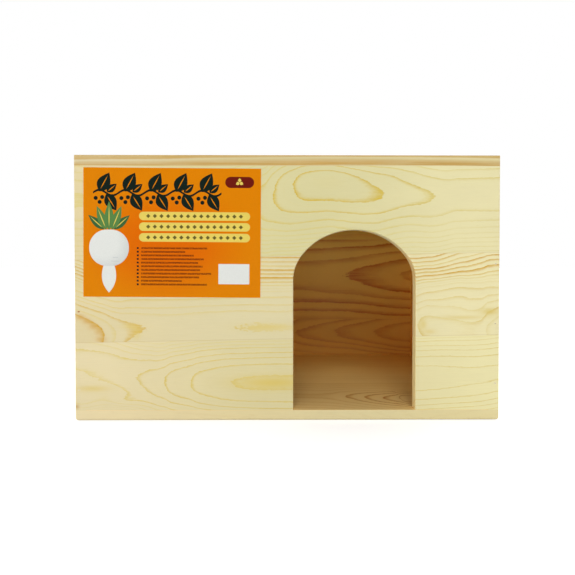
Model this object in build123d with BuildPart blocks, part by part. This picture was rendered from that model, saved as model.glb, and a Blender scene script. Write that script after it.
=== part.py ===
from build123d import *
import os
from math import atan2, degrees, sqrt

os.makedirs("parts", exist_ok=True)

# A small animal house of edge-glued pine boards: four walls between a floor and a flat roof,
# with an arched doorway in the front wall. All sizes are in mm. The origin is at the middle
# of the base, +X is to the right of the front, -Y is the front and +Z is up.

# The box
width = 400
depth = 250
height = 250
board = 10
corner_ease = 0.8
roof_ease = 0.5
base_ease = 2.4

# The doorway: straight jambs under a three-centred arch, open down to the floor. The lintel
# is the wood left in the wall over the crown of the arch.
door_width = 115.5
door_centre = 63
lintel_height = 59.8
crown_extra = 5.3
shoulder_radius = 38
door_ease = 0.8

# Widths of the outer staves of each panel. The middle stave takes the rest. The upper stave
# of the front wall laps the doorway, so its seam meets both sides of the arch.
front_lower_width = 67.5
front_arch_lap = 25
front_seam_rise = 7.5
back_lower_width = 54.5
back_upper_width = 54
side_lower_width = 74
side_upper_width = 78
floor_front_width = 88
floor_rear_width = 81
roof_front_width = 85
roof_rear_width = 80

# Brads: T-headed finish nails of flat wire, their fit in the wood, how far they stand from
# the edges and how they are spaced
brad_length = 25
brad_width = 1.25
brad_thickness = 1
brad_head_width = 1.9
brad_head_height = 0.6
brad_point = 1.5
brad_sink = 0.3
brad_fit = 0.05
brad_tip_gap = 0.5
brad_inset = 3.6
row_end_gap = 20
side_row_gap = 63
left_brad_height = 29
left_brad_pitch = 74
left_brad_count = 2
right_brad_height = 35
right_brad_pitch = 56.5
right_brad_count = 3
rear_brad_gap = 35

# The paper sticker on the front wall, laid by hand and so turned a little clockwise. The gaps
# are those of its upper left corner.
sticker_width = 166
sticker_height = 121
sticker_thickness = 0.2
sticker_left_gap = 9.1
sticker_top_gap = 11.7
sticker_turn = 0.4

# Sizes that follow from the ones above
wall_height = height - 2 * board
wall_top = height - board
side_depth = depth - 2 * board
brad_line_x = width / 2 - brad_inset
brad_line_y = depth / 2 - brad_inset
row_half = width / 2 - row_end_gap
door_height = wall_height - lintel_height
front_upper_width = lintel_height + front_arch_lap
door_half = door_width / 2
door_left = door_centre - door_half
door_right = door_centre + door_half

# The outer faces, each seen from outside, with Z or Y up in the plane
front_face = Plane(origin=(0, -depth / 2, 0), x_dir=(1, 0, 0), z_dir=(0, -1, 0))
rear_face = Plane(origin=(0, depth / 2, 0), x_dir=(-1, 0, 0), z_dir=(0, 1, 0))
roof_face = Plane(origin=(0, 0, height), x_dir=(1, 0, 0), z_dir=(0, 0, 1))
base_face = Plane(origin=(0, 0, 0), x_dir=(1, 0, 0), z_dir=(0, 0, -1))
wall_top_face = roof_face.offset(-board)
wall_base_face = base_face.offset(-board)
side_front_face = front_face.offset(-board)
side_rear_face = rear_face.offset(-board)

# Where the brads stand, in the plane of each face
left_front_seats = [
    (-brad_line_x, left_brad_height + step * left_brad_pitch) for step in range(left_brad_count)
]
right_front_seats = [
    (brad_line_x, right_brad_height + step * right_brad_pitch) for step in range(right_brad_count)
]
front_seats = left_front_seats + right_front_seats
rear_seats = [
    (side * brad_line_x, height / 2 + step * (wall_height / 2 - rear_brad_gap))
    for side in (-1, 1)
    for step in (-1, 0, 1)
]
long_row = [step * row_half / 2 for step in (-2, -1, 0, 1, 2)]
side_row = [-depth / 2 + side_row_gap, depth / 2 - side_row_gap]
roof_front_seats = [(x, -brad_line_y) for x in long_row]
roof_rear_seats = [(x, brad_line_y) for x in long_row]
side_seats = [(side * brad_line_x, y) for side in (-1, 1) for y in side_row]
roof_seats = roof_front_seats + roof_rear_seats + side_seats

# Seen from below, the front edge of the floor is on the plane's +Y side. Its brads stand
# under the front wall only, so their row stops short of the doorway on both sides.
left_run = door_left - row_end_gap + row_half
floor_front_row = [step * left_run / 2 - row_half for step in (0, 1, 2)]
floor_front_row += [door_right + row_end_gap, row_half]
floor_front_seats = [(x, brad_line_y) for x in floor_front_row]
floor_rear_seats = [(x, -brad_line_y) for x in long_row]
floor_seats = floor_front_seats + floor_rear_seats + side_seats


# Slots that the brads leave in the wood: one down from a face, the width of head or shank
def brad_slots(face, seats, slot_width, slot_depth):
    with BuildSketch(face) as slots:
        with Locations(*seats):
            Rectangle(slot_width + 2 * brad_fit, brad_thickness + 2 * brad_fit)
    extrude(to_extrude=slots.sketch, amount=-slot_depth, mode=Mode.SUBTRACT)


# The board that the heads sink into is slotted from its outer face right through
def head_holes(face, seats):
    brad_slots(face, seats, brad_head_width, brad_sink + brad_head_height)
    brad_slots(face, seats, brad_width, board)


# The board behind it takes the rest of the shank in its edge
def edge_holes(face, seats):
    brad_slots(face, seats, brad_width, brad_sink + brad_length + brad_tip_gap - board)


def save(piece, name):
    piece.part.label = name
    export_step(piece.part, f"parts/{name}.step")


# A panel is glued up from three staves, then cut and drilled whole. This parts it again
# along its two seams.
def save_staves(panel, low_seam, high_seam, low_name, middle_name, high_name):
    with BuildPart() as low_stave:
        add(panel.part)
        split(bisect_by=low_seam, keep=Keep.BOTTOM)
    with BuildPart() as middle_stave:
        add(panel.part)
        split(bisect_by=low_seam, keep=Keep.TOP)
        split(bisect_by=high_seam, keep=Keep.BOTTOM)
    with BuildPart() as high_stave:
        add(panel.part)
        split(bisect_by=high_seam, keep=Keep.TOP)
    save(low_stave, low_name)
    save(middle_stave, middle_name)
    save(high_stave, high_name)


# Floor: a full-size board under the walls, its lower arrises well rounded
with BuildPart() as floor_panel:
    with BuildSketch(Plane.XY):
        Rectangle(width, depth)
    extrude(amount=board)
    fillet(floor_panel.edges().filter_by(Axis.Z), corner_ease)
    fillet(floor_panel.faces().sort_by(Axis.Z)[0].edges(), base_ease)
    head_holes(base_face, floor_seats)

save_staves(
    floor_panel,
    Plane.ZX.offset(floor_front_width - depth / 2),
    Plane.ZX.offset(depth / 2 - floor_rear_width),
    "floor_front_stave",
    "floor_middle_stave",
    "floor_rear_stave",
)

# Roof: a full-size board over the walls, its upper arrises only just broken
with BuildPart() as roof_panel:
    with BuildSketch(Plane.XY.offset(wall_top)):
        Rectangle(width, depth)
    extrude(amount=board)
    fillet(roof_panel.edges().filter_by(Axis.Z), corner_ease)
    fillet(roof_panel.faces().sort_by(Axis.Z)[-1].edges(), roof_ease)
    head_holes(roof_face, roof_seats)

save_staves(
    roof_panel,
    Plane.ZX.offset(roof_front_width - depth / 2),
    Plane.ZX.offset(depth / 2 - roof_rear_width),
    "roof_front_stave",
    "roof_middle_stave",
    "roof_rear_stave",
)

# Back wall: plain, between floor and roof, over the rear edges of the side walls
with BuildPart() as back_panel:
    with BuildSketch(rear_face):
        with Locations((0, height / 2)):
            Rectangle(width, wall_height)
    extrude(amount=-board)
    fillet(back_panel.edges().filter_by(Axis.Z).group_by(Axis.Y)[-1], corner_ease)
    head_holes(rear_face, rear_seats)
    edge_holes(wall_top_face, roof_rear_seats)
    edge_holes(wall_base_face, floor_rear_seats)

save_staves(
    back_panel,
    Plane.XY.offset(board + back_lower_width),
    Plane.XY.offset(wall_top - back_upper_width),
    "back_lower_stave",
    "back_middle_stave",
    "back_upper_stave",
)

# Side walls: between the front and back walls
side_low_seam = Plane.XY.offset(board + side_lower_width)
side_high_seam = Plane.XY.offset(wall_top - side_upper_width)

with BuildPart() as left_panel:
    with BuildSketch(Plane.XY.offset(board)):
        with Locations((board / 2 - width / 2, 0)):
            Rectangle(board, side_depth)
    extrude(amount=wall_height)
    edge_holes(side_front_face, left_front_seats)
    edge_holes(side_rear_face, [seat for seat in rear_seats if seat[0] > 0])
    edge_holes(wall_top_face, [seat for seat in side_seats if seat[0] < 0])
    edge_holes(wall_base_face, [seat for seat in side_seats if seat[0] < 0])

save_staves(
    left_panel,
    side_low_seam,
    side_high_seam,
    "left_side_lower_stave",
    "left_side_middle_stave",
    "left_side_upper_stave",
)

with BuildPart() as right_panel:
    with BuildSketch(Plane.XY.offset(board)):
        with Locations((width / 2 - board / 2, 0)):
            Rectangle(board, side_depth)
    extrude(amount=wall_height)
    edge_holes(side_front_face, right_front_seats)
    edge_holes(side_rear_face, [seat for seat in rear_seats if seat[0] < 0])
    edge_holes(wall_top_face, [seat for seat in side_seats if seat[0] > 0])
    edge_holes(wall_base_face, [seat for seat in side_seats if seat[0] > 0])

save_staves(
    right_panel,
    side_low_seam,
    side_high_seam,
    "right_side_lower_stave",
    "right_side_middle_stave",
    "right_side_upper_stave",
)

# Doorway outline: each shoulder arc runs on smoothly from its jamb and into the crown arc.
# The crown is a little flatter than a half circle would be, so the arch looks full.
crown_radius = door_half + crown_extra
shoulder_centre = door_half - shoulder_radius
centre_drop = sqrt((crown_radius - shoulder_radius) ** 2 - shoulder_centre**2)
spring_line = door_height - crown_radius + centre_drop
shoulder_angle = degrees(atan2(centre_drop, shoulder_centre))
doorway_face = Plane(origin=(door_centre, -depth / 2, board), x_dir=(1, 0, 0), z_dir=(0, -1, 0))

with BuildSketch(doorway_face) as doorway:
    with BuildLine():
        Line((door_half, 0), (door_half, spring_line))
        CenterArc((shoulder_centre, spring_line), shoulder_radius, 0, shoulder_angle)
        CenterArc((0, door_height - crown_radius), crown_radius, shoulder_angle, 90 - shoulder_angle)
        mirror(about=Plane.YZ)
        Line((-door_half, 0), (door_half, 0))
    make_face()

# Front wall: the doorway is cut through the glued panel, and its arris eased on both faces
with BuildPart() as front_panel:
    with BuildSketch(front_face):
        with Locations((0, height / 2)):
            Rectangle(width, wall_height)
    extrude(amount=-board)
    fillet(front_panel.edges().filter_by(Axis.Z).group_by(Axis.Y)[0], corner_ease)
    extrude(to_extrude=doorway.sketch, amount=-board, mode=Mode.SUBTRACT)
    wall_edges = front_panel.faces().filter_by(Axis.Y).edges()
    arris = wall_edges.filter_by_position(Axis.X, door_left - door_ease, door_right + door_ease)
    arris = arris.filter_by_position(Axis.Z, board + door_ease, wall_top - door_ease)
    fillet(arris, door_ease)
    head_holes(front_face, front_seats)
    edge_holes(wall_top_face, roof_front_seats)
    edge_holes(wall_base_face, floor_front_seats)

# Its two seams climb slightly to the right, because the panel was cut a little out of square
seam_normal = (-front_seam_rise / width, 0, 1)
front_low_seam = Plane(origin=(0, 0, board + front_lower_width), z_dir=seam_normal)
front_high_seam = Plane(origin=(0, 0, wall_top - front_upper_width), z_dir=seam_normal)

with BuildPart() as front_lower_band:
    add(front_panel.part)
    split(bisect_by=front_low_seam, keep=Keep.BOTTOM)

with BuildPart() as front_middle_band:
    add(front_panel.part)
    split(bisect_by=front_low_seam, keep=Keep.TOP)
    split(bisect_by=front_high_seam, keep=Keep.BOTTOM)

with BuildPart() as front_lower_left_stave:
    add(front_lower_band.solids().sort_by(Axis.X)[0])

with BuildPart() as front_lower_right_stave:
    add(front_lower_band.solids().sort_by(Axis.X)[-1])

with BuildPart() as front_middle_left_stave:
    add(front_middle_band.solids().sort_by(Axis.X)[0])

with BuildPart() as front_middle_right_stave:
    add(front_middle_band.solids().sort_by(Axis.X)[-1])

with BuildPart() as front_upper_stave:
    add(front_panel.part)
    split(bisect_by=front_high_seam, keep=Keep.TOP)

save(front_lower_left_stave, "front_lower_left_stave")
save(front_lower_right_stave, "front_lower_right_stave")
save(front_middle_left_stave, "front_middle_left_stave")
save(front_middle_right_stave, "front_middle_right_stave")
save(front_upper_stave, "front_upper_stave")

# One brad, head up, with the board's surface at its origin
head_top = -brad_sink
head_base = head_top - brad_head_height
point_end = head_top - brad_length
with BuildPart() as brad:
    with BuildSketch(Plane.XZ):
        with BuildLine():
            Polyline(
                (0, head_top),
                (brad_head_width / 2, head_top),
                (brad_head_width / 2, head_base),
                (brad_width / 2, head_base),
                (brad_width / 2, point_end + brad_point),
                (0, point_end),
            )
            mirror(about=Plane.YZ)
        make_face()
    extrude(amount=brad_thickness / 2, both=True)

# The brads of each face, every one a solid of its own
with BuildPart() as front_brads:
    with Locations(front_face):
        with Locations(*front_seats):
            add(brad.part)

with BuildPart() as rear_brads:
    with Locations(rear_face):
        with Locations(*rear_seats):
            add(brad.part)

with BuildPart() as roof_brads:
    with Locations(roof_face):
        with Locations(*roof_seats):
            add(brad.part)

with BuildPart() as floor_brads:
    with Locations(base_face):
        with Locations(*floor_seats):
            add(brad.part)

save(front_brads, "front_brads")
save(rear_brads, "rear_brads")
save(roof_brads, "roof_brads")
save(floor_brads, "floor_brads")

# Paper sticker at the upper left of the front wall
with BuildPart() as front_sticker:
    with BuildSketch(front_face):
        with Locations((sticker_left_gap - width / 2, height - sticker_top_gap)):
            Rectangle(
                sticker_width, sticker_height, rotation=-sticker_turn, align=(Align.MIN, Align.MAX)
            )
    extrude(amount=sticker_thickness)

save(front_sticker, "front_sticker")
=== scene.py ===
import bpy
import math
import numpy as np
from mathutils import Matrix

# A small animal house of edge-glued pine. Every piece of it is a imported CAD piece, so this
# script gives them their wood, steel and printed paper, and sets up the camera and studio.
# Patterns are worked out in millimetres on each piece's own object coordinates.

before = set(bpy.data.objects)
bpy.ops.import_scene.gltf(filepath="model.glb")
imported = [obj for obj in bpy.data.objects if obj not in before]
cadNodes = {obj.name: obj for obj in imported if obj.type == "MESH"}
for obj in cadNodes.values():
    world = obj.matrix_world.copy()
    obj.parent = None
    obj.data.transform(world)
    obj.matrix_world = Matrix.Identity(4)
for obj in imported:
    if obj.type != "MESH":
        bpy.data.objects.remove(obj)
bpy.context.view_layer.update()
print("house: frame loaded,", len(cadNodes), "pieces")


def paint(red, green, blue):
    # a colour as seen on a screen, 0 to 255, turned into the linear values that shaders use
    shade = np.array((red, green, blue)) / 255
    linear = np.where(shade <= 0.04045, shade / 12.92, ((shade + 0.055) / 1.055) ** 2.4)
    return (*linear.tolist(), 1)


def putNode(tree, kind, given=None, **options):
    # one node: its options first, then each input linked from a socket or set to a value
    node = tree.nodes.new(kind)
    for option, choice in options.items():
        setattr(node, option, choice)
    for place, value in (given or {}).items():
        if isinstance(value, bpy.types.NodeSocket):
            tree.links.new(value, node.inputs[place])
        else:
            node.inputs[place].default_value = value
    return node


def work(tree, operation, *given):
    # a number worked out from others
    node = putNode(tree, "ShaderNodeMath", dict(enumerate(given)), operation=operation)
    return node.outputs[0]


def times(tree, first, second):
    return work(tree, "MULTIPLY", first, second)


def plus(tree, first, second):
    return work(tree, "ADD", first, second)


def minus(tree, first, second):
    return work(tree, "SUBTRACT", first, second)


def vectorWork(tree, operation, *given):
    # a vector worked out from others
    node = putNode(tree, "ShaderNodeVectorMath", dict(enumerate(given)), operation=operation)
    return node.outputs["Value" if operation in ("LENGTH", "DOT_PRODUCT") else "Vector"]


def split(tree, whole):
    return putNode(tree, "ShaderNodeSeparateXYZ", {0: whole}).outputs


def vector(tree, *parts):
    return putNode(tree, "ShaderNodeCombineXYZ", dict(enumerate(parts))).outputs[0]


def ramp(tree, value, low, high, start=0.0, end=1.0, kind="SMOOTHSTEP"):
    # goes from start to end as the value goes from low to high
    given = {0: value, 1: low, 2: high, 3: start, 4: end}
    return putNode(tree, "ShaderNodeMapRange", given, interpolation_type=kind).outputs[0]


def blendColours(tree, share, first, second, kind="MIX"):
    # the first colour, with a share of the second laid over it
    given = {0: share, 6: first, 7: second}  # the node's sockets for colours
    return putNode(tree, "ShaderNodeMix", given, data_type="RGBA", blend_type=kind).outputs[2]


def tinted(tree, colour, tint):
    # a colour multiplied with another
    return blendColours(tree, 1.0, colour, tint, "MULTIPLY")


def lightened(tree, colour, factor):
    # a colour multiplied with one number
    grey = vector(tree, factor, factor, factor)
    return vectorWork(tree, "MULTIPLY", colour, grey)


def facing(tree, normal, axis):
    # 1 where the surface faces along the axis, 0 where it lies beside it
    return work(tree, "ABSOLUTE", vectorWork(tree, "DOT_PRODUCT", normal, tuple(axis)))


def between(tree, value, low, high):
    # 1 where the value lies between the two others
    above = work(tree, "GREATER_THAN", value, low)
    return times(tree, above, work(tree, "LESS_THAN", value, high))


def cloud(tree, place, sizes, seed, detail=2.0, rough=0.5):
    # soft noise from 0 to 1 whose blotches have the given sizes in mm
    scaled = vectorWork(tree, "DIVIDE", place, sizes)
    given = {"Vector": scaled, "W": seed, "Scale": 1.0, "Detail": detail, "Roughness": rough}
    return putNode(tree, "ShaderNodeTexNoise", given, noise_dimensions="4D").outputs[0]


def curveThrough(tree, value, points):
    # a smooth line through (value, result) points, level beyond its ends
    spots = np.array(points, float)
    low, high = spots.min(axis=0), spots.max(axis=0)
    span = np.where(high > low, high - low, 1.0)
    shares = (spots - low) / span
    node = tree.nodes.new("ShaderNodeFloatCurve")
    line = node.mapping.curves[0]
    for _ in range(len(shares) - 2):
        line.points.new(0.5, 0.5)
    for knot, share in zip(line.points, shares):
        knot.location = share
        knot.handle_type = "AUTO_CLAMPED"
    node.mapping.extend = "HORIZONTAL"
    node.mapping.update()
    start = work(tree, "MULTIPLY_ADD", value, 1 / span[0], -low[0] / span[0])
    tree.links.new(start, node.inputs["Value"])
    return work(tree, "MULTIPLY_ADD", node.outputs[0], span[1], low[1])


def startGroup(name, vectors, values, results, colours=(), colourResults=()):
    # an empty node group, with the names of its inputs and outputs
    tree = bpy.data.node_groups.new(name, "ShaderNodeTree")
    sockets = [("INPUT", "Vector", vectors), ("INPUT", "Float", values), ("INPUT", "Color", colours),
               ("OUTPUT", "Float", results), ("OUTPUT", "Color", colourResults)]
    for side, kind, labels in sockets:
        for label in labels:
            tree.interface.new_socket(name=label, in_out=side, socket_type="NodeSocket" + kind)
    return tree, tree.nodes.new("NodeGroupInput").outputs, tree.nodes.new("NodeGroupOutput").inputs


def useGroup(tree, group, **given):
    # places a group; capital letters in the keyword names stand for a space and that letter
    node = putNode(tree, "ShaderNodeGroup", node_tree=group)
    for key, value in given.items():
        label = "".join(" " + letter if letter.isupper() else letter for letter in key).title()
        if isinstance(value, bpy.types.NodeSocket):
            tree.links.new(value, node.inputs[label])
        else:
            node.inputs[label].default_value = value
    return node.outputs


cameraSetup = {
    "place": (-0.0024, -0.509, 0.1464),  # metres, in front of the front wall
    "pitch": 0.798,  # degrees down from level
    "yaw": 0.332,  # degrees to the right
    "lens": 25.56,  # mm
    "sensor": 36,  # mm
    "shift": -0.0282,
    "nearest": 0.01,
}

studio = {
    "worldLight": 0.26,
    "floorColour": 0.8,
    "floorSize": 40.0,
    "floorGap": 0.0002,  # how far the floor lies under the house
    "floorLift": (0.52, 1.0),  # its glow beside the house and far away
    "liftReach": (0.6, 2.6),  # metres, where that growth starts and ends
    # name, place, point aimed at, width, height, power
    "lamps": [
        ("lampKey", (0.0, -1.72, 1.45), (0, 0, 0.12), 1.2, 0.8, 12.6),
        ("lampLow", (-0.2, -1.3, 0.1), (0, 0, 0.12), 1.3, 0.18, 3.4),
        ("lampLeft", (-1.3, -1.3, 0.5), (0, 0, 0.12), 0.8, 0.6, 4.2),
        ("lampRight", (1.5, -2.2, 0.9), (0, 0, 0.12), 1.6, 1.2, 3.2),
        ("lampOverhead", (0.0, 0.3, 2.2), (0, 0, 0.2), 1.6, 1.6, 9.5),
        ("lampRear", (0.3, 2.0, 1.1), (0, 0, 0.12), 1.4, 1.0, 18),
        ("lampSide", (2.0, 0.5, 0.8), (0, 0, 0.12), 1.0, 1.0, 11.5),
        ("lampFarSide", (-2.0, 0.5, 0.8), (0, 0, 0.12), 1.0, 1.0, 11.5),
    ],
}


def makeCamera():
    camera = bpy.data.objects.new("camera", bpy.data.cameras.new("camera"))
    bpy.context.scene.collection.objects.link(camera)
    camera.location = cameraSetup["place"]
    down, right = math.radians(cameraSetup["pitch"]), math.radians(cameraSetup["yaw"])
    camera.rotation_euler = (math.pi / 2 - down, 0, -right)
    camera.data.lens = cameraSetup["lens"]
    camera.data.sensor_width = cameraSetup["sensor"]
    camera.data.shift_y = cameraSetup["shift"]
    camera.data.clip_start = cameraSetup["nearest"]
    bpy.context.scene.camera = camera
    bpy.context.scene.view_settings.view_transform = "Standard"


def seenDirectly(tree):
    # 1 for rays from the camera, off gloss or through glass
    path = tree.nodes.new("ShaderNodeLightPath").outputs
    seen = plus(tree, path["Is Camera Ray"], path["Is Glossy Ray"])
    seen = plus(tree, seen, path["Is Transmission Ray"])
    return work(tree, "MINIMUM", seen, 1.0)


def makeBackdrop():
    world = bpy.data.worlds.new("studioWorld")
    world.use_nodes = True
    bpy.context.scene.world = world
    tree = world.node_tree
    strength = ramp(tree, seenDirectly(tree), 0, 1, studio["worldLight"], 1.0, "LINEAR")
    background = tree.nodes["Background"].inputs
    background["Color"].default_value = (1, 1, 1, 1)
    tree.links.new(strength, background["Strength"])


def makeFloor():
    half = studio["floorSize"] / 2
    mesh = bpy.data.meshes.new("studioFloor")
    corners = [(-half, -half, 0), (half, -half, 0), (half, half, 0), (-half, half, 0)]
    mesh.from_pydata(corners, [], [(0, 1, 2, 3)])
    floor = bpy.data.objects.new("studioFloor", mesh)
    floor.location.z = -studio["floorGap"]
    bpy.context.scene.collection.objects.link(floor)

    paper = bpy.data.materials.new("studioPaper")
    paper.use_nodes = True
    tree = paper.node_tree
    tree.nodes.clear()
    shade = studio["floorColour"]
    matte = putNode(tree, "ShaderNodeBsdfDiffuse", {"Color": (shade, shade, shade, 1)})
    here = tree.nodes.new("ShaderNodeTexCoord").outputs["Object"]
    lift = ramp(tree, vectorWork(tree, "LENGTH", here), *studio["liftReach"], *studio["floorLift"])
    lift = times(tree, seenDirectly(tree), lift)
    glow = putNode(tree, "ShaderNodeEmission", {"Strength": lift})
    both = putNode(tree, "ShaderNodeAddShader", {0: matte.outputs[0], 1: glow.outputs[0]})
    putNode(tree, "ShaderNodeOutputMaterial", {"Surface": both.outputs[0]})
    mesh.materials.append(paper)


def hangLamps():
    for name, place, aim, wide, high, power in studio["lamps"]:
        light = bpy.data.lights.new(name, "AREA")
        light.shape = "RECTANGLE"
        light.size, light.size_y, light.energy = wide, high, power
        lamp = bpy.data.objects.new(name, light)
        bpy.context.scene.collection.objects.link(lamp)
        # an area lamp shines along its own -Z, so that axis is turned to the aim
        away = np.array(place, float) - np.array(aim, float)
        away /= np.linalg.norm(away)
        lamp.location = place
        lamp.rotation_euler = (math.acos(away[2]), 0, math.atan2(away[0], -away[1]))


makeCamera()
makeBackdrop()
makeFloor()
hangLamps()
print("house: camera and studio ready")


box = {"halfWidth": 200, "halfDepth": 125, "height": 250, "board": 10}  # mm
farAway = 999  # mm, beyond every piece

# Pine. Sizes are in mm along, across and into the board, and tones are shares that lighten
# and darken it.
pine = {
    # what makes rings wander: size, push in mm, and detail
    "wander": [((70, 16, 16), 4.0, 1.0), ((11, 4, 4), 1.1, 2.0), ((3.6, 1.3, 1.3), 1.5, 1.0)],
    # how dark a ring is from its inner edge, 0, to its outer edge, 1
    "darkening": [(0, 0.05), (0.3, 0), (0.62, 0.04), (0.76, 0.36), (0.9, 0.82), (0.965, 1),
                  (0.988, 0.45), (1, 0.05)],
    "streakSize": (45, 1.6, 1.6),
    "streakTone": (0.72, 1.12),
    "fibreSize": (16, 0.42, 0.42),
    "fibreTone": 0.028,
    "blotchSize": (60, 26, 26),
    "blotchTone": 0.02,
    "dashSize": (5.5, 0.75, 0.75),
    "dashShare": 0.14,
    "endGrainTint": paint(264, 252, 228),
    "glueLine": paint(176, 140, 82),
    "glueWidth": 0.45,
    "glueShare": 0.2,
    "handled": paint(201, 170, 96),
    "handledReach": 1.8,
    "handledShare": 0.16,
    "rough": (0.62, 0.5),  # between the rings and on them
    "specular": 0.3,
    "bumpStrength": 0.25,
    "bumpHeight": 0.0004,
}


def makeGrowthRings():
    # Rings are circles about the pith, a wandering line along the board: a point's radius is
    # its distance from the pith, pushed about by slow sway, short ripples and a ragged edge.
    values = ["Pith Across", "Pith Depth", "Sway", "Seed"]
    tree, given, result = startGroup("growthRings", ["Place"], values, ["Radius"])
    parts = split(tree, given["Place"])
    rise = minus(tree, parts[1], given["Pith Across"])
    deep = plus(tree, parts[2], given["Pith Depth"])
    squares = plus(tree, times(tree, rise, rise), times(tree, deep, deep))
    push = -sum(reach for sizes, reach, detail in pine["wander"]) / 2
    for sizes, reach, detail in pine["wander"]:
        drift = cloud(tree, given["Place"], sizes, given["Seed"], detail)
        push = work(tree, "MULTIPLY_ADD", drift, reach, push)
    push = times(tree, push, given["Sway"])
    tree.links.new(plus(tree, work(tree, "SQRT", squares), push), result["Radius"])
    return tree


def makeBranchSwell():
    # A round hill of the given height that fades with distance as exp(-d * d): rings bend
    # round the place where a branch left the trunk.
    vectors = ["Place", "Centre", "Reach"]
    tree, given, result = startGroup("branchSwell", vectors, ["Lift"], ["Push"])
    apart = vectorWork(tree, "SUBTRACT", given["Place"], given["Centre"])
    apart = vectorWork(tree, "DIVIDE", apart, given["Reach"])
    square = vectorWork(tree, "DOT_PRODUCT", apart, apart)
    hill = work(tree, "POWER", math.e, times(tree, square, -1.0))
    tree.links.new(times(tree, hill, given["Lift"]), result["Push"])
    return tree


def makePineWood():
    # Colour of the wood from its ring number, which grows by one from ring to ring. Pale
    # earlywood darkens slowly towards the ring's outer edge and stops there at once.
    # A breadth under 1 widens the dark part. Faint rings are golden and strong ones browner.
    values = ["Ring", "Strength", "Breadth", "End Grain", "Seed"]
    tree, given, result = startGroup("pineWood", ["Place"], values, ["Latewood", "Height"],
                                     ["Early", "Faint", "Strong"], ["Color"])
    place, strength, seed = given["Place"], given["Strength"], given["Seed"]
    share = work(tree, "POWER", work(tree, "FRACT", given["Ring"]), given["Breadth"])
    late = times(tree, curveThrough(tree, share, pine["darkening"]), strength)
    streaks = cloud(tree, place, pine["streakSize"], seed, 2.0)
    late = times(tree, late, ramp(tree, streaks, 0.3, 0.7, *pine["streakTone"]))
    tree.links.new(late, result["Latewood"])

    ringColour = blendColours(tree, times(tree, strength, strength), given["Faint"],
                              given["Strong"])
    colour = blendColours(tree, work(tree, "MINIMUM", late, 1.0), given["Early"], ringColour)
    dashes = cloud(tree, place, pine["dashSize"], seed, 1.0)
    dash = ramp(tree, dashes, 0.62, 0.74, 0.0, pine["dashShare"])
    colour = blendColours(tree, dash, colour, given["Faint"])
    colour = blendColours(tree, given["End Grain"], colour, tinted(tree, colour, pine["endGrainTint"]))

    fibre = cloud(tree, place, pine["fibreSize"], seed, 2.0, 0.6)
    blotch = cloud(tree, place, pine["blotchSize"], seed, 1.0)
    tone = 1.0
    for pattern, change in (fibre, pine["fibreTone"]), (blotch, pine["blotchTone"]):
        tone = plus(tree, ramp(tree, pattern, 0.25, 0.75, -change, change, "LINEAR"), tone)
    tree.links.new(lightened(tree, colour, tone), result["Color"])
    high = work(tree, "MULTIPLY_ADD", late, 0.5, times(tree, fibre, 0.5))
    tree.links.new(high, result["Height"])
    return tree


def makeGlueLine():
    # 1 on a thin line along each long edge of a stave, where it is glued to the next one
    tree, given, result = startGroup("glueLine", [], ["Across", "Low", "High", "Width"], ["Line"])
    below = work(tree, "ABSOLUTE", minus(tree, given["Across"], given["Low"]))
    above = work(tree, "ABSOLUTE", minus(tree, given["Across"], given["High"]))
    near = work(tree, "DIVIDE", work(tree, "MINIMUM", below, above), given["Width"])
    tree.links.new(ramp(tree, near, 0.4, 1.0, 1.0, 0.0), result["Line"])
    return tree


def makeHandledEdge():
    # 1 at the outer edges of the box, fading over the reach. The distance to the nearest edge
    # is the middle one of the distances to the three nearest outer faces.
    tree, given, result = startGroup("handledEdge", ["Position"], ["Reach", "Seed"], ["Edge"])
    half = (box["halfWidth"], box["halfDepth"], box["height"] / 2)
    fromMiddle = vectorWork(tree, "SUBTRACT", given["Position"], (0, 0, half[2]))
    gaps = vectorWork(tree, "SUBTRACT", half, vectorWork(tree, "ABSOLUTE", fromMiddle))
    parts = split(tree, gaps)
    lower = work(tree, "MINIMUM", parts[0], parts[1])
    upper = work(tree, "MAXIMUM", parts[0], parts[1])
    second = work(tree, "MAXIMUM", lower, work(tree, "MINIMUM", upper, parts[2]))
    near = work(tree, "DIVIDE", second, given["Reach"])
    patchy = cloud(tree, given["Position"], (14, 14, 14), given["Seed"], 2.0)
    patchy = ramp(tree, patchy, 0.3, 0.7, 0.45, 1.0)
    edge = times(tree, ramp(tree, near, 0.0, 1.0, 1.0, 0.0), patchy)
    tree.links.new(edge, result["Edge"])
    return tree


def makePaintedInsideShade():
    # Painted shade: the wood inside the house is tinted a deeper amber, standing in for the
    # shade in there: 1 well inside the walls, and the start share at the doorway.
    tree, given, result = startGroup("paintedInsideShade", ["Position"], ["Start"], ["Inside"])
    parts = split(tree, given["Position"])
    skin = box["board"] - 0.2  # a little less than a board, so that the inner faces are inside
    wide = work(tree, "LESS_THAN", work(tree, "ABSOLUTE", parts[0]), box["halfWidth"] - skin)
    rear = work(tree, "LESS_THAN", parts[1], box["halfDepth"] - skin)
    tall = between(tree, parts[2], skin, box["height"] - skin)
    front = box["board"] - box["halfDepth"]
    deep = ramp(tree, parts[1], front, 0.6 * box["halfDepth"], given["Start"], 1.0, "LINEAR")
    inside = times(tree, times(tree, wide, rear), tall)
    tree.links.new(times(tree, inside, deep), result["Inside"])
    return tree


growthRings = makeGrowthRings()
branchSwell = makeBranchSwell()
pineWood = makePineWood()
glueLine = makeGlueLine()
handledEdge = makeHandledEdge()
paintedInsideShade = makePaintedInsideShade()

# Painted shade on the wood inside, as tints low down and high up, the upper one paler as painted light,
# and the share that reaches the doorway
paintedInsideTones = {
    "wall": (paint(246, 188, 98), paint(282, 250, 158), 0.0),
    "floor": (paint(284, 248, 182), paint(284, 248, 182), 0.6),
}
paintedInsideRise = [(36, 0), (165, 0.66), (188, 1)]  # heights in mm, and the share of the upper, paler tint of painted light
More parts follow.
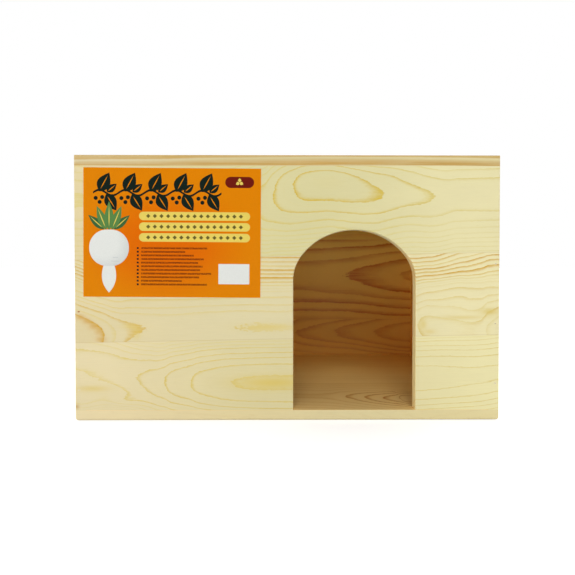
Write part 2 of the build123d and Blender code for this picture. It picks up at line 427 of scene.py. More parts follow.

# Each panel's axis along its grain, the axis across its staves, its depth as sign * axis +
# offset, 0 at the face that is seen most, and the span that its staves fill
panels = {
    "front": {"along": 0, "across": 2, "depth": (1, 1, 125), "span": (10, 240)},
    "back": {"along": 0, "across": 2, "depth": (1, 1, -115), "span": (10, 240)},
    "left": {"along": 1, "across": 2, "depth": (0, 1, 200), "span": (10, 240)},
    "right": {"along": 1, "across": 2, "depth": (0, -1, 200), "span": (10, 240)},
    "roof": {"along": 0, "across": 1, "depth": (2, -1, 250), "span": (-125, 125)},
    "floor": {"along": 0, "across": 1, "depth": (2, -1, 10), "span": (-125, 125)},
}


def startMaterial(name):
    # a material with its shader, and the piece's own place in mm
    material = bpy.data.materials.new(name)
    material.use_nodes = True
    tree = material.node_tree
    here = tree.nodes.new("ShaderNodeTexCoord").outputs
    metres = {0: here["Object"], "Scale": 1000}
    position = putNode(tree, "ShaderNodeVectorMath", metres, operation="SCALE").outputs[0]
    return material, tree, tree.nodes["Principled BSDF"].inputs, position, here["Normal"]


def addBump(tree, shader, high, look):
    # relief in the shading: the piece's own strength, and its height in metres
    given = {"Height": high, "Strength": look["bumpStrength"], "Distance": look["bumpHeight"]}
    tree.links.new(putNode(tree, "ShaderNodeBump", given).outputs[0], shader["Normal"])


def placesOn(tree, stave, position, normal):
    # the values that a stave's pattern is worked out from
    panel = panels[stave["panel"]]
    parts = split(tree, position)
    axis, sign, offset = panel["depth"]
    side = stave.get("side", -1)  # -1 where the pith lies behind the face, 1 where it lies before
    depth = work(tree, "MULTIPLY_ADD", parts[axis], side * sign, side * offset)
    along, across = parts[panel["along"]], parts[panel["across"]]
    grainAxis = np.eye(3)[panel["along"]].tolist()
    return {
        "along": along, "across": across, "height": parts[2],
        "place": vector(tree, along, across, depth),
        "position": position, "normal": normal,
        "endGrain": ramp(tree, facing(tree, normal, grainAxis), 0.5, 0.9),
    }


def hills(tree, at, spots, reachDeep=20):
    # a soft hill for each spot in the list, in its order
    pushes = []
    for spot in spots:
        alongAt, acrossAt, alongReach, acrossReach, lift = spot[:5]
        push = useGroup(tree, branchSwell, place=at["place"], centre=(alongAt, acrossAt, 0),
                        reach=(alongReach, acrossReach, reachDeep), lift=lift)["Push"]
        pushes.append(push)
    return pushes


def ringsOf(tree, stave, at):
    # the pith's line gives a point its radius, and the rings turn that into number and strength
    pithAcross = curveThrough(tree, at["along"], stave["pithAcross"])
    pithDepth = curveThrough(tree, at["along"], stave["pithDepth"])
    radius = useGroup(tree, growthRings, place=at["place"], pithAcross=pithAcross,
                      pithDepth=pithDepth, sway=stave["sway"], seed=stave["seed"])["Radius"]
    for push in hills(tree, at, stave.get("swells", []), 60):
        radius = plus(tree, radius, push)
    rings = stave["rings"]
    counts = [(edge, count) for count, (edge, strength) in enumerate(rings)]
    strengths = [(count + 0.5, strength) for count, (edge, strength) in enumerate(rings[1:])]
    number = curveThrough(tree, radius, counts)
    middle = plus(tree, work(tree, "FLOOR", number), 0.5)
    strength = curveThrough(tree, middle, strengths)
    for push in hills(tree, at, stave.get("calm", [])):
        strength = times(tree, strength, minus(tree, 1.0, push))
    if "frontEdge" in stave:
        start = -box["halfDepth"]
        calm = ramp(tree, at["across"], start + 0.6, start + 4, stave["frontEdge"], 1.0)
        strength = times(tree, strength, calm)
    return number, strength


def woodOf(tree, stave, at):
    # the wood group with the stave's own rings and colours
    number, strength = ringsOf(tree, stave, at)
    left, centre, right = (paint(*shade) for shade in stave["early"])
    early = blendColours(tree, ramp(tree, at["along"], -190, -20), left, centre)
    early = blendColours(tree, ramp(tree, at["along"], 20, 190), early, right)
    faint, strong = (paint(*shade) for shade in stave["late"])
    breadth = stave.get("breadth", 1.0)
    for push in hills(tree, at, stave.get("broad", [])):
        breadth = plus(tree, push, breadth)
    return useGroup(tree, pineWood, place=at["place"], ring=number, strength=strength, early=early,
                    faint=faint, strong=strong, breadth=breadth, endGrain=at["endGrain"],
                    seed=stave["seed"] + 7)


def marked(tree, stave, at, colour):
    # stains, painted light on faces cut across the board, glue lines and handled edges laid over the
    # wood
    stains = stave.get("stains", [])
    for push, stain in zip(hills(tree, at, stains), stains):
        colour = blendColours(tree, push, colour, paint(*stainTones[stain[-1]]))
    # painted light: faces cut across the board are painted paler, out to the reach from the middle
    if "sawn" in stave:
        tint, limit = stave["sawn"]
        turned = ramp(tree, facing(tree, at["normal"], (0, 1, 0)), 0.3, 0.8, 1.0, 0.0)
        reached = work(tree, "LESS_THAN", work(tree, "ABSOLUTE", at["along"]), limit)
        cut = times(tree, turned, reached)
        colour = blendColours(tree, cut, colour, tinted(tree, colour, tint))

    # an edge that ends its panel has no glue, so its line is put far away
    first, last = panels[stave["panel"]]["span"]
    low, high = stave["edges"]
    low, high = (low if low > first else -farAway), (high if high < last else farAway)
    tilt = times(tree, at["along"], stave.get("tilt", 0.0))
    across = minus(tree, at["across"], tilt)
    line = useGroup(tree, glueLine, across=across, low=low, high=high, width=pine["glueWidth"])["Line"]
    line = times(tree, line, pine["glueShare"])
    colour = blendColours(tree, line, colour, pine["glueLine"])
    edge = useGroup(tree, handledEdge, position=at["position"], reach=pine["handledReach"],
                    seed=stave["seed"] + 3)["Edge"]
    edge = times(tree, edge, pine["handledShare"])
    return blendColours(tree, edge, colour, pine["handled"])


def makeStaveWood(name, stave):
    material, tree, shader, position, normal = startMaterial(name)
    at = placesOn(tree, stave, position, normal)
    wood = woodOf(tree, stave, at)
    colour = marked(tree, stave, at, wood["Color"])

    # painted shade inside the house: its wood is tinted amber, darker low down and paler high up, with
    # painted light along some staves
    below, above, atDoor = paintedInsideTones.get(stave["panel"], paintedInsideTones["wall"])
    tint = blendColours(tree, curveThrough(tree, at["height"], paintedInsideRise), below, above)
    # painted light: a factor that lightens the painted shade at points along the stave
    if "paler" in stave:
        tint = lightened(tree, tint, curveThrough(tree, at["along"], stave["paler"]))
    inside = useGroup(tree, paintedInsideShade, position=position, start=atDoor)["Inside"]
    colour = blendColours(tree, inside, colour, tinted(tree, colour, tint))
    tree.links.new(colour, shader["Base Color"])
    tree.links.new(ramp(tree, wood["Latewood"], 0, 1, *pine["rough"]), shader["Roughness"])
    shader["Specular IOR Level"].default_value = pine["specular"]
    addBump(tree, shader, wood["Height"], pine)
    return material


# The front wall's staves, in mm. Edges are a stave's long edges at the middle of the house,
# and tilt is their rise along it. Pith lines are (along, across) and (along, depth) points.
# Rings are (radius, strength) from the inmost out, sway is how much they wander, and a small
# breadth widens their dark part. Swells are branch places: along, across, the reach along and
# across, and lift. Calm, broad and stains list likewise where rings are fainter or wider, and
# darker spots. Early is the pale wood at the left, middle and right, and late is faint and
# strong rings. The painted cut light is a paler tint painted as light on faces cut across the
# board, such as the doorway's jamb and sill, and their reach from the middle.
frontShared = {"panel": "front", "tilt": 7.5 / 400, "sawn": (paint(292, 291, 302), 150)}
stainTones = {"gold": (218, 194, 98), "amber": (206, 160, 72), "brown": (190, 150, 84)}

frontStaves = {
    "front_upper_stave": {
        **frontShared, "seed": 3.1, "edges": (155.2, 240), "sway": 0.45,
        "pithAcross": [
            (-199, 207), (-100, 204), (-24, 207), (-15, 210.5), (5, 214.5), (25, 216), (48, 213.5),
            (66, 210), (80, 209), (91, 210), (113, 211.5), (138, 210), (160, 212.6), (201, 213.6)
        ],
        "pithDepth": [
            (-199, 44), (-100, 46), (-24, 38), (-15, 35.5), (5, 30.9), (25, 29.2), (48, 29.3),
            (66, 29.2), (80, 29.4), (91, 30.2), (113, 33), (138, 35.2), (160, 36.8), (201, 36.8)
        ],
        "rings": [(25.8, 0), (30, 1), (31.8, 0), (35.2, 0.95), (37.2, 0), (40.2, 0.7), (44.5, 0.5),
                  (48.3, 0.4), (51.8, 0.35), (55, 0.45), (58.2, 0.35), (61.5, 0.45), (64.8, 0.4),
                  (68, 0.5), (71.3, 0.45), (74.6, 0.45), (78, 0.4)],
        "swells": [(45, 231, 46, 14, -6.5), (82, 188, 44, 14, 3), (-4, 178, 34, 18, -3)],
        "broad": [(91, 210, 14, 9, -0.5), (150, 211, 16, 9, -0.5), (-15, 212, 14, 14, -0.3)],
        "calm": [(165, 202, 60, 46, 0.32)],
        "early": ((223, 207, 161), (213, 205, 153), (231, 222, 173)),
        "late": ((212, 196, 98), (206, 176, 50)),
    },
    "front_middle_left_stave": {
        **frontShared, "seed": 5.7, "edges": (77.5, 155.2), "sway": 0.35,
        "pithAcross": [
            (-199, 79), (-172, 80), (-161, 81), (-138, 86.6), (-107, 87.5), (-50, 88.4), (3, 88.4),
            (60, 88), (121, 89), (137, 87.5), (149, 86.5), (163, 86), (173, 85), (201, 85)
        ],
        "pithDepth": [(-199, 26), (-185, 30), (-172, 33.6), (-161, 36.8), (-138, 40), (-119, 40.4),
                      (-68, 40.3), (-50, 40), (-23, 39.75), (3, 39.8), (60, 41), (110, 41), (121, 40.2),
                      (137, 38.4), (149, 38.6), (173, 39.2), (189, 36.4), (201, 33.6)],
        "rings": [(30.5, 0), (33.6, 1), (36.8, 0.4), (40, 0.8), (42.9, 0.45), (45.3, 0.5), (49.1, 0.55),
                  (52.6, 0.3), (54.1, 0.25), (56.4, 0.5), (58.5, 0.75), (61.7, 1), (64.7, 0.9),
                  (67.6, 1), (70.5, 0.65), (73.9, 0.85), (77.3, 1), (80.5, 0.5), (84, 0.5)],
        "swells": [(190, 160, 42, 26, -13), (168, 124, 34, 14, -6), (130, 158, 16, 22, 2.5),
                   (-206, 145, 16, 30, -5)],
        "stains": [
            (128, 91, 3.5, 5, 0.55, "gold"), (134, 84, 6, 2.5, 0.45, "gold"),
            (-18, 88.5, 26, 3.5, 0.5, "gold"), (191, 103, 9, 3.5, 0.7, "gold"),
            (165, 97.5, 22, 2, 0.45, "gold"), (-148, 89, 9, 2.5, 0.4, "gold"),
            (-142, 82, 3.5, 6, 0.4, "gold"), (-195, 98, 4.5, 2.8, 0.7, "amber"),
            (-189, 94, 4.5, 3, 0.6, "amber"), (-183, 89, 4.5, 3.2, 0.6, "amber"),
            (-178, 84, 4, 3.5, 0.5, "amber"), (-176, 77, 5, 3, 0.6, "amber")
        ],
        "broad": [(-186, 90, 16, 14, -0.65), (-146, 86, 12, 10, -0.3), (0, 138, 400, 20, -0.6)],
        "calm": [(0, 88, 46, 9, 0.75), (150, 94, 36, 14, 0.6), (-90, 104, 60, 8, 0.25)],
        "early": ((221, 207, 162), (220, 209, 166), (235, 225, 177)),
        "late": ((218, 199, 102), (204, 157, 26)),
    },
    "front_lower_left_stave": {
        **frontShared, "seed": 8.3, "edges": (10, 77.5), "sway": 0.4,
        "pithAcross": [
            (-199, 59), (-171, 53), (-155, 47), (-143, 42), (-130, 38), (-116, 35.8), (-55, 35.8),
            (4, 35.8), (69, 38.6), (124, 40), (147, 41), (175, 42), (201, 45.2)
        ],
        "pithDepth": [
            (-199, 41), (-171, 40.4), (-155, 39.8), (-143, 38.6), (-130, 36.8), (-116, 35),
            (-110, 33.4), (-100, 32), (-92, 31), (-84, 29.2), (-72, 27.8), (-55, 26.1), (-35, 25.3),
            (4, 25), (69, 23.8), (124, 23.1), (151, 23.7), (175, 24.7), (201, 25.2)
        ],
        "rings": [(24.6, 0), (26.1, 0.7), (28.2, 0), (31, 0.8), (32.6, 0), (35, 0.85), (36.2, 0),
                  (38.3, 0.8), (40, 0), (42, 0.75), (44.5, 0.45), (47, 0.45), (49.2, 0.35),
                  (51.5, 0.35), (54, 0.35), (57, 0.35), (60, 0.35), (63, 0.3)],
        "swells": [(-157, 18, 18, 7, -5), (-199, 14, 30, 18, -15)],
        "stains": [(-14, 35.8, 36, 6.5, 0.85, "gold"), (-184, 30.5, 16, 3, 0.55, "gold"),
                   (-199, 13.5, 2.6, 2.2, 0.7, "brown")],
        "calm": [(170, 50, 80, 44, 0.2), (-178, 40, 36, 36, 0.3)],
        "early": ((227, 213, 170), (219, 208, 160), (237, 228, 176)),
        "late": ((221, 203, 112), (210, 180, 60)),
    },
}

# Staves on the inside of the back wall, seen through the doorway: fewer and broader rings.
# The painted light is a factor on the painted shade tint of the wood inside, at points along the stave,
# that lightens the wall towards its ends.
backShared = {
    "panel": "back", "side": 1,
    "early": [(236, 226, 180)] * 3,
    "paler": [(5, 1.18), (45, 1.04), (95, 0.98), (135, 1.0), (165, 1.03), (190, 1.12)],
}

backStaves = {
    "back_middle_stave": {
        **backShared, "seed": 12.4, "edges": (64.5, 186), "breadth": 0.5, "sway": 1.3,
        "pithAcross": [(-199, 120), (-60, 126), (0, 131), (190, 131)],
        "pithDepth": [(-199, 30), (-120, 38), (-40, 36), (0, 34.5), (46, 33), (90, 30), (128, 25),
                      (164, 18), (190, 14)],
        "rings": [(11, 0), (16.6, 0.6), (30, 1), (41, 0.7), (53, 0.95), (64, 0.95), (75, 0.5),
                  (86, 0.4)],
        "late": ((202, 158, 74), (194, 138, 56)),
    },
    "back_lower_stave": {
        **backShared, "seed": 14.9, "edges": (10, 64.5), "breadth": 0.6, "sway": 1.0,
        "pithAcross": [(-199, 40), (0, 45), (190, 45)],
        "pithDepth": [(-199, 30), (-100, 34), (0, 36), (18, 34.3), (73, 30), (96, 28), (135, 23.2),
                      (173, 18.6), (190, 17)],
        "rings": [(17, 0), (23.2, 0.6), (30, 0.7), (34.5, 0.7), (39.5, 0.7), (46, 0.4), (54, 0.5),
                  (64, 0.4)],
        "late": ((204, 160, 76), (196, 142, 60)),
    },
    "back_upper_stave": {
        **backShared, "seed": 17.2, "edges": (186, 240), "breadth": 0.6, "sway": 1.0,
        "pithAcross": [(-199, 172), (0, 168), (190, 174)],
        "pithDepth": [(-199, 30), (-90, 34), (20, 31), (190, 36)],
        "rings": [(24, 0), (32, 0.4), (40, 0.3), (49, 0.5), (60, 0.3), (72, 0.4), (84, 0.4)],
        "late": ((216, 182, 116), (204, 160, 92)),
    },
}

# The roof's front stave has its pith over its front edge, which shows two broad dark stripes
roofFront = {
    "panel": "roof", "seed": 21.5, "edges": (-125, -40), "side": 1, "breadth": 0.21, "sway": 0.25,
    "pithAcross": [(-200, -125), (-90, -124), (20, -126), (110, -125), (200, -124)],
    "pithDepth": [
        (-200, 25.2), (-119, 25.9), (-53, 27.5), (0, 27.8), (60, 28.1), (125, 28), (200, 26.8)
    ],
    "rings": [(22, 0), (30, 0.9), (37.6, 1), (44, 0.5), (51, 0.4), (57, 0.5), (65, 0.3), (71, 0.5),
              (79, 0.3), (87, 0.4)],
    "early": ((215, 200, 158), (209, 193, 143), (221, 207, 155)),
    "late": ((206, 178, 110), (193, 155, 82)),
    # painted light: all faces of this stave but its front and back edges are painted a little paler
    "sawn": (paint(266, 272, 278), farAway),
}

# Front edge is the strength that rings keep on the floor's front edge
floorFront = {
    "panel": "floor", "seed": 24.6, "edges": (-125, -37), "side": 1, "frontEdge": 0.2, "sway": 0.5,
    "pithAcross": [(-200, -70), (-60, -78), (60, -86), (110, -92), (200, -96)],
    "pithDepth": [(-200, 36), (-60, 34), (30, 34), (61, 30), (79, 26), (97, 22), (115, 18), (124, 14),
                  (140, 17), (200, 30)],
    "rings": [(10, 0), (14, 0.8), (18, 0.9), (22, 1), (26, 1), (30, 0.9), (35, 0.5), (40, 0.4),
              (45, 0.4), (50, 0.4), (56, 0.3), (62, 0.4)],
    "early": ((232, 216, 172), (226, 211, 162), (230, 216, 164)),
    "late": ((204, 170, 100), (180, 126, 52)),
}

# The staves that the photograph doesn't show: panel, seed and the two edges across the stave
plainStaves = {
    "floor_middle_stave": ("floor", 31, (-37, 44)),
    "floor_rear_stave": ("floor", 32, (44, 125)),
    "roof_middle_stave": ("roof", 33, (-40, 45)),
    "roof_rear_stave": ("roof", 34, (45, 125)),
    "left_side_lower_stave": ("left", 35, (10, 84)),
    "left_side_middle_stave": ("left", 36, (84, 162)),
    "left_side_upper_stave": ("left", 37, (162, 240)),
    "right_side_lower_stave": ("right", 38, (10, 84)),
    "right_side_middle_stave": ("right", 39, (84, 162)),
    "right_side_upper_stave": ("right", 40, (162, 240)),
}

# What chance may do in those, in mm
habit = {
    "points": 6,  # on the pith's line
    "pithShare": (0.2, 0.8),  # of the stave's width, where the pith starts
    "pithStray": 5,
    "pithDepth": (22, 34),
    "depthStray": 4.5,
    "rings": 20,
    "gaps": (5.2, 3.2),  # between the inmost rings and between the outmost
    "gapChance": (0.75, 1.3),
    "strengths": [0.3, 0.45, 0.7, 0.9],
    "strengthOdds": [0.35, 0.3, 0.2, 0.15],
    "early": (230, 218, 170),
    "toneChance": 4,  # how much paler or darker a stave is, on that scale to 255
    "late": ((214, 188, 112), (202, 158, 80)),
    "sway": 0.6,
    "rightPaintedLight": 1.4,  # painted light on the inside of the right wall, where it lies in shade
}


def growStave(panel, seed, edges):
    # a likely stave: its pith wanders beside or under it, and its rings get closer as they go
    # out, with chance widths and strengths that the seed fixes
    chance = np.random.RandomState(seed)
    half = box["halfWidth"] if panel in ("floor", "roof") else box["halfDepth"] - box["board"]
    count, stray, strayDeep = habit["points"], habit["pithStray"], habit["depthStray"]
    spots = np.linspace(-half, half, count)
    centre = edges[0] + (edges[1] - edges[0]) * chance.uniform(*habit["pithShare"])
    across = centre + np.cumsum(chance.uniform(-stray, stray, count))
    depth = chance.uniform(*habit["pithDepth"])
    depth = depth + np.cumsum(chance.uniform(-strayDeep, strayDeep, count))
    gaps = chance.uniform(*habit["gapChance"], habit["rings"])
    gaps = gaps * np.linspace(*habit["gaps"], habit["rings"])
    radii = max(depth.min() - 4, 6) + np.cumsum(gaps)
    strengths = chance.choice(habit["strengths"], habit["rings"], p=habit["strengthOdds"])
    tone = chance.uniform(-habit["toneChance"], habit["toneChance"])
    pale = [shade + tone for shade in habit["early"]]
    stave = {
        "panel": panel, "seed": float(seed), "edges": edges, "side": chance.choice([-1, 1]),
        "pithAcross": list(zip(spots, across)), "pithDepth": list(zip(spots, depth)),
        "rings": [(radii[0] - 5, 0)] + list(zip(radii, strengths)),
        "early": [pale] * 3, "late": habit["late"], "sway": habit["sway"],
    }
    # the right wall's inside gets painted light that lifts its painted shade
    if panel == "right":
        stave["paler"] = [(-half, habit["rightPaintedLight"]), (half, habit["rightPaintedLight"])]
    return stave


def dress(name, material):
    cadNodes[name].material_slots[0].material = material


frontWoods = {name: makeStaveWood(name, stave) for name, stave in frontStaves.items()}
for name, wood in frontWoods.items():
    dress(name, wood)
# the doorway cuts these staves in two, and their grain goes on beyond it
dress("front_middle_right_stave", frontWoods["front_middle_left_stave"])
dress("front_lower_right_stave", frontWoods["front_lower_left_stave"])
for name, stave in backStaves.items():
    dress(name, makeStaveWood(name, stave))
dress("roof_front_stave", makeStaveWood("roof_front_stave", roofFront))
dress("floor_front_stave", makeStaveWood("floor_front_stave", floorFront))
for name, (panel, seed, edges) in plainStaves.items():
    dress(name, makeStaveWood(name, growStave(panel, seed, edges)))
print("house: pine on the staves")


brads = {
    "steel": paint(226, 219, 198),
    "tarnish": paint(198, 184, 152),
    "rust": paint(158, 84, 44),
    "rustyPlace": (-196.4, -125, 103),  # mm, one head in the front has rusted
    "rustReach": (4, 8),  # mm from there where the rust starts to fade and ends
    "rough": (0.38, 0.62),  # bright and tarnished
    "spotSize": (0.8, 0.8, 0.8),  # mm
    "scratchSize": (0.12, 2.0, 2.0),
    "bumpStrength": 0.3,
    "bumpHeight": 0.00005,
}


def makeBradSteel():
    material, tree, shader, position, normal = startMaterial("bradSteel")
    spots = cloud(tree, position, brads["spotSize"], 2.0, 3.0, 0.6)
    worn = ramp(tree, spots, 0.4, 0.62)
    colour = blendColours(tree, worn, brads["steel"], brads["tarnish"])
    apart = vectorWork(tree, "LENGTH", vectorWork(tree, "SUBTRACT", position, brads["rustyPlace"]))
    near = ramp(tree, apart, *brads["rustReach"], 1.0, 0.0)
    rusty = times(tree, near, ramp(tree, spots, 0.3, 0.5, 0.7, 1.0))
    tree.links.new(blendColours(tree, rusty, colour, brads["rust"]), shader["Base Color"])
    tree.links.new(ramp(tree, worn, 0, 1, *brads["rough"]), shader["Roughness"])
    shader["Metallic"].default_value = 1.0
    scratches = cloud(tree, position, brads["scratchSize"], 4.0, 2.0)
    addBump(tree, shader, scratches, brads)
    return material


bradSteel = makeBradSteel()
for name in ("front_brads", "rear_brads", "roof_brads", "floor_brads"):
    dress(name, bradSteel)
print("house: steel on the brads")


# The sticker is printed with a plain design of its own: a leafy vine, bars, a turnip, rules,
# an empty box and a tag, placed in mm from its lower left corner. A bar is a centre, halves
# and a corner radius. A leaf is a centre, a turn in degrees, a length and a width. A vein is
# a share of its leaf's length, and a width.
sticker = {
    "corner": (-190.9, 238.3),  # its upper left corner on the front wall, x and z in mm
    "turn": 0.4,  # degrees clockwise
    "height": 121,
    "ground": paint(219, 128, 4),
    "glow": paint(220, 104, 2),
    "dark": paint(18, 32, 26),
    "maroon": paint(106, 26, 16),
    "bar": paint(226, 204, 96),
    "ink": paint(52, 46, 24),
    "white": paint(224, 226, 221),
    "shade": paint(198, 202, 200),
    "leaf": paint(88, 130, 70),
    "leafDark": paint(58, 98, 56),
    "rule": paint(92, 38, 8),
    "paper": paint(236, 232, 220),
    "glowMiddle": (76.36, 50.82, 0),
    "glowReach": (83, 55.66, 1),
    "blur": 0.15,  # half the soft edge of each shape
    "leafLean": -0.35,  # how much slimmer a leaf gets from its middle to its tip
    "speckleSize": (0.5, 0.5, 0.5),
    "speckleTone": (0.96, 1.04),
    "waveSize": (22, 22, 22),
    "rough": (0.34, 0.42),
    "specular": 0.02,
    "bumpStrength": 0.4,
    "bumpHeight": 0.0006,
}

vine = {
    "span": (9, 129),
    "repeat": 24,  # the same leaves and berries come again after this
    "height": 97.5,
    "sway": 2.6,
    "stem": (0.9, 1.2),  # half its thickness, without and with its soft edge
    "leaves": [((19.5, 107.5), 62, 20, 12), ((26, 88.5), -58, 18, 11), ((26.5, 102), 40, 12, 7)],
    "vein": (0.7, 0.9),
    "berries": [(11.5, 92.5), (15.2, 88.8), (17.6, 93.4)],
    "berry": 1.9,  # radius
}

bars = {
    "span": (52, 156),
    "middles": (76, 66, 56),
    "half": 4.0,
    "diamondSpan": (57.5, 150.5),
    "diamondStep": (3.1, 5.0),  # half the way from one diamond to the next, across and up
    "diamond": 2.0,  # from its middle to its tips
    "diamondBlur": 0.2,
    "inkShare": 0.85,
}

turnip = {
    "leaves": [((12, 70), 138, 20, 7, "leafDark"), ((36, 70), 42, 20, 7, "leafDark"),
               ((17, 74), 112, 24, 8, "leaf"), ((31, 74), 68, 24, 8, "leaf"),
               ((24, 76), 90, 27, 8.5, "leaf")],
    "vein": (0.75, 0.8),
    "tail": ((24, 23), 90, 38, 13),
    "root": ((24, 46), (18.5, 17), 16.5),
    "light": (18, 52, 0),  # its palest place
    "shadeReach": (12, 30),  # from there
    "shadeShare": 0.8,
    "creases": [((30, 33.5), (4, 0.35), 0.3), ((30, 37), (2.5, 0.35), 0.3),
                ((30, 30.5), (2, 0.35), 0.3)],
}

rules = {
    "block": (10.2, 47.6),  # lowest and highest
    "apart": 3.4,
    "thick": (0.7, 0.95),
    "start": 54,
    "ends": (92, 122),  # chance puts each rule's end between these
    "head": (50, 51.8),
    "grainSize": (1.1, 1.1, 1.1),
    "grainShare": 0.35,  # what stays of a rule where its print is broken
    "inkShare": 0.75,
}

tag = {
    "emptyBox": ((141, 22), (14.5, 9.5), 0.6),
    "tag": ((146, 108), (13.5, 5.2), 5.2),
    "clover": [((146, 110.1), 90, 3.6, 3), ((144.18, 106.95), 210, 3.6, 3),
               ((147.82, 106.95), 330, 3.6, 3)],
}


def makeRoundedBar():
    # A bar's edge is where the distance to its inner core equals the corner radius
    vectors = ["Spot", "Centre", "Half"]
    tree, given, result = startGroup("roundedBar", vectors, ["Corner"], ["Mask"])
    apart = vectorWork(tree, "ABSOLUTE", vectorWork(tree, "SUBTRACT", given["Spot"], given["Centre"]))
    corner = vector(tree, given["Corner"], given["Corner"])
    beyond = vectorWork(tree, "SUBTRACT", apart, vectorWork(tree, "SUBTRACT", given["Half"], corner))
    beyond = vectorWork(tree, "MAXIMUM", beyond, (0, 0, 0))
    flat = vectorWork(tree, "MULTIPLY", beyond, (1, 1, 0))
    gap = minus(tree, vectorWork(tree, "LENGTH", flat), given["Corner"])
    tree.links.new(ramp(tree, gap, -sticker["blur"], sticker["blur"], 1.0, 0.0), result["Mask"])
    return tree


def makeLeafShape():
    # A leaf about its own middle: its half width is a parabola of the place along it, fuller
    # towards the stalk end
    values = ["Turn", "Length", "Width"]
    tree, given, result = startGroup("leafShape", ["Spot", "Centre"], values, ["Mask"])
    apart = vectorWork(tree, "SUBTRACT", given["Spot"], given["Centre"])
    turn = {"Vector": apart, "Angle": times(tree, given["Turn"], -1.0)}
    turned = putNode(tree, "ShaderNodeVectorRotate", turn, rotation_type="Z_AXIS").outputs[0]
    parts = split(tree, turned)
    share = work(tree, "DIVIDE", parts[0], times(tree, given["Length"], 0.5))
    full = minus(tree, 1.0, times(tree, share, share))
    lean = work(tree, "MAXIMUM", work(tree, "MULTIPLY_ADD", share, sticker["leafLean"], 1.0), 0.1)
    half = times(tree, given["Width"], 0.5)
    half = times(tree, times(tree, full, lean), half)
    gap = minus(tree, work(tree, "ABSOLUTE", parts[1]), half)
    tree.links.new(ramp(tree, gap, -sticker["blur"], sticker["blur"], 1.0, 0.0), result["Mask"])
    return tree


def layInk(sheet, mask, ink):
    # lays one ink over the print so far, where the mask is 1
    sheet["colour"] = blendColours(sheet["tree"], mask, sheet["colour"], sticker[ink])


def printBar(sheet, shape, ink, spot=None, within=1.0):
    tree, (centre, half, corner) = sheet["tree"], shape
    mask = useGroup(tree, roundedBar, spot=spot or sheet["spot"], centre=(*centre, 0),
                    half=(*half, 0), corner=corner)["Mask"]
    mask = times(tree, mask, within)
    layInk(sheet, mask, ink)
    return mask


def printLeaf(sheet, shape, ink, spot=None, within=1.0):
    tree, (centre, turn, length, width) = sheet["tree"], shape
    mask = useGroup(tree, leafShape, spot=spot or sheet["spot"], centre=(*centre, 0),
                    turn=math.radians(turn), length=length, width=width)["Mask"]
    layInk(sheet, times(tree, mask, within), ink)


def printVine(sheet):
    # the stem is a sine wave, one wave to a repeat
    tree, across, up = sheet["plane"]
    start, end = vine["span"]
    inRow = between(tree, across, start, end)
    cell = work(tree, "WRAP", across, start + vine["repeat"], start)
    spot = vector(tree, cell, up)
    angle = times(tree, minus(tree, cell, start), math.tau / vine["repeat"])
    line = work(tree, "MULTIPLY_ADD", work(tree, "SINE", angle), vine["sway"], vine["height"])
    off = work(tree, "ABSOLUTE", minus(tree, up, line))
    stem = ramp(tree, off, *vine["stem"], 1.0, 0.0)
    layInk(sheet, times(tree, stem, inRow), "dark")
    veinShare, veinWidth = vine["vein"]
    for centre, turn, length, width in vine["leaves"]:
        printLeaf(sheet, (centre, turn, length, width), "dark", spot, inRow)
        printLeaf(sheet, (centre, turn, length * veinShare, veinWidth), "ground", spot, inRow)
    for centre in vine["berries"]:
        printBar(sheet, (centre, (vine["berry"], vine["berry"]), vine["berry"]), "dark", spot, inRow)


def printBars(sheet):
    # three pale bars at the right, each with a row of small diamonds
    tree, across, up = sheet["plane"]
    left, right = bars["span"]
    half = bars["half"]
    for middle in bars["middles"]:
        printBar(sheet, (((left + right) / 2, middle), ((right - left) / 2, half), half), "bar")

    # away and above are 0 midway between diamonds, and a whole step at a diamond's middle
    start, end = bars["diamondSpan"]
    stepAcross, stepUp = bars["diamondStep"]
    lowest, highest = min(bars["middles"]), max(bars["middles"])
    away = work(tree, "PINGPONG", minus(tree, across, start), stepAcross)
    above = work(tree, "PINGPONG", minus(tree, up, lowest - stepUp), stepUp)
    gap = minus(tree, stepAcross + stepUp - bars["diamond"], plus(tree, away, above))
    mask = ramp(tree, gap, -bars["diamondBlur"], bars["diamondBlur"], bars["inkShare"], 0.0)
    mask = times(tree, mask, between(tree, across, start, end))
    mask = times(tree, mask, between(tree, up, lowest - half, highest + half))
    layInk(sheet, mask, "ink")


def printTurnip(sheet):
    # five leaves, a tail, and a round root with a soft shade and three creases
    tree = sheet["tree"]
    veinShare, veinWidth = turnip["vein"]
    for centre, turn, length, width, ink in turnip["leaves"]:
        printLeaf(sheet, (centre, turn, length, width), ink)
        printLeaf(sheet, (centre, turn, length * veinShare, veinWidth), "bar")
    printLeaf(sheet, turnip["tail"], "white")
    root = printBar(sheet, turnip["root"], "white")
    away = vectorWork(tree, "LENGTH", vectorWork(tree, "SUBTRACT", sheet["spot"], turnip["light"]))
    dim = ramp(tree, away, *turnip["shadeReach"], 0.0, turnip["shadeShare"])
    layInk(sheet, times(tree, root, dim), "shade")
    for crease in turnip["creases"]:
        printBar(sheet, crease, "shade")


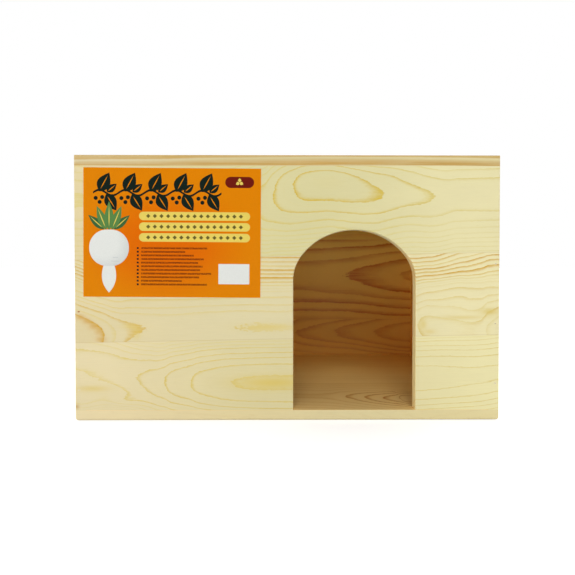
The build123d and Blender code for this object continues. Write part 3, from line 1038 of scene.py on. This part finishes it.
def printRules(sheet):
    # plain rules of chance lengths in unevenly printed ink, each with a square at its head
    tree, across, up = sheet["plane"]
    row = work(tree, "FLOOR", work(tree, "DIVIDE", up, rules["apart"]))
    chance = putNode(tree, "ShaderNodeTexWhiteNoise", {"W": row}, noise_dimensions="1D")
    soonest, latest = rules["ends"]
    end = work(tree, "MULTIPLY_ADD", chance.outputs["Value"], latest - soonest, soonest)
    lines = ramp(tree, work(tree, "PINGPONG", up, rules["apart"] / 2), *rules["thick"])
    lines = times(tree, lines, between(tree, up, *rules["block"]))
    grain = cloud(tree, sheet["spot"], rules["grainSize"], 8.0, 1.0)
    ink = ramp(tree, grain, 0.34, 0.5, rules["grainShare"], 1.0)
    ink = times(tree, ink, rules["inkShare"])
    mask = times(tree, lines, between(tree, across, rules["start"], end))
    layInk(sheet, times(tree, mask, ink), "rule")
    layInk(sheet, times(tree, lines, between(tree, across, *rules["head"])), "dark")


def printTag(sheet):
    # an empty white box, and a small maroon tag with a clover
    printBar(sheet, tag["emptyBox"], "white")
    printBar(sheet, tag["tag"], "maroon")
    for leaf in tag["clover"]:
        printLeaf(sheet, leaf, "bar")


def makeStickerPaper():
    material, tree, shader, position, normal = startMaterial("stickerPaper")
    left, top = sticker["corner"]
    apart = vectorWork(tree, "SUBTRACT", position, (left, 0, top))
    turn = {"Vector": apart, "Angle": -math.radians(sticker["turn"])}
    turned = putNode(tree, "ShaderNodeVectorRotate", turn, rotation_type="Y_AXIS").outputs[0]
    parts = split(tree, turned)
    across, up = parts[0], plus(tree, parts[2], sticker["height"])
    spot = vector(tree, across, up)

    # the ground is orange, a little redder towards the middle
    away = vectorWork(tree, "SUBTRACT", spot, sticker["glowMiddle"])
    away = vectorWork(tree, "DIVIDE", away, sticker["glowReach"])
    glow = ramp(tree, vectorWork(tree, "LENGTH", away), 0.25, 1.1, 1.0, 0.0)
    ground = blendColours(tree, glow, sticker["ground"], sticker["glow"])

    sheet = {"tree": tree, "plane": (tree, across, up), "spot": spot, "colour": ground}
    printVine(sheet)
    printBars(sheet)
    printTurnip(sheet)
    printRules(sheet)
    printTag(sheet)

    # only the face is printed, and the paper's cut edge stays white
    speckle = cloud(tree, position, sticker["speckleSize"], 6.0, 2.0)
    tone = ramp(tree, speckle, 0.3, 0.7, *sticker["speckleTone"], "LINEAR")
    onFace = ramp(tree, facing(tree, normal, (0, 1, 0)), 0.4, 0.6)
    colour = blendColours(tree, onFace, sticker["paper"], lightened(tree, sheet["colour"], tone))
    tree.links.new(colour, shader["Base Color"])
    tree.links.new(ramp(tree, speckle, 0.3, 0.7, *sticker["rough"]), shader["Roughness"])
    shader["Specular IOR Level"].default_value = sticker["specular"]
    waves = cloud(tree, position, sticker["waveSize"], 9.0, 1.0)
    addBump(tree, shader, work(tree, "MULTIPLY_ADD", speckle, 0.02, waves), sticker)
    return material


roundedBar = makeRoundedBar()
leafShape = makeLeafShape()
dress("front_sticker", makeStickerPaper())
print("house: print on the sticker")
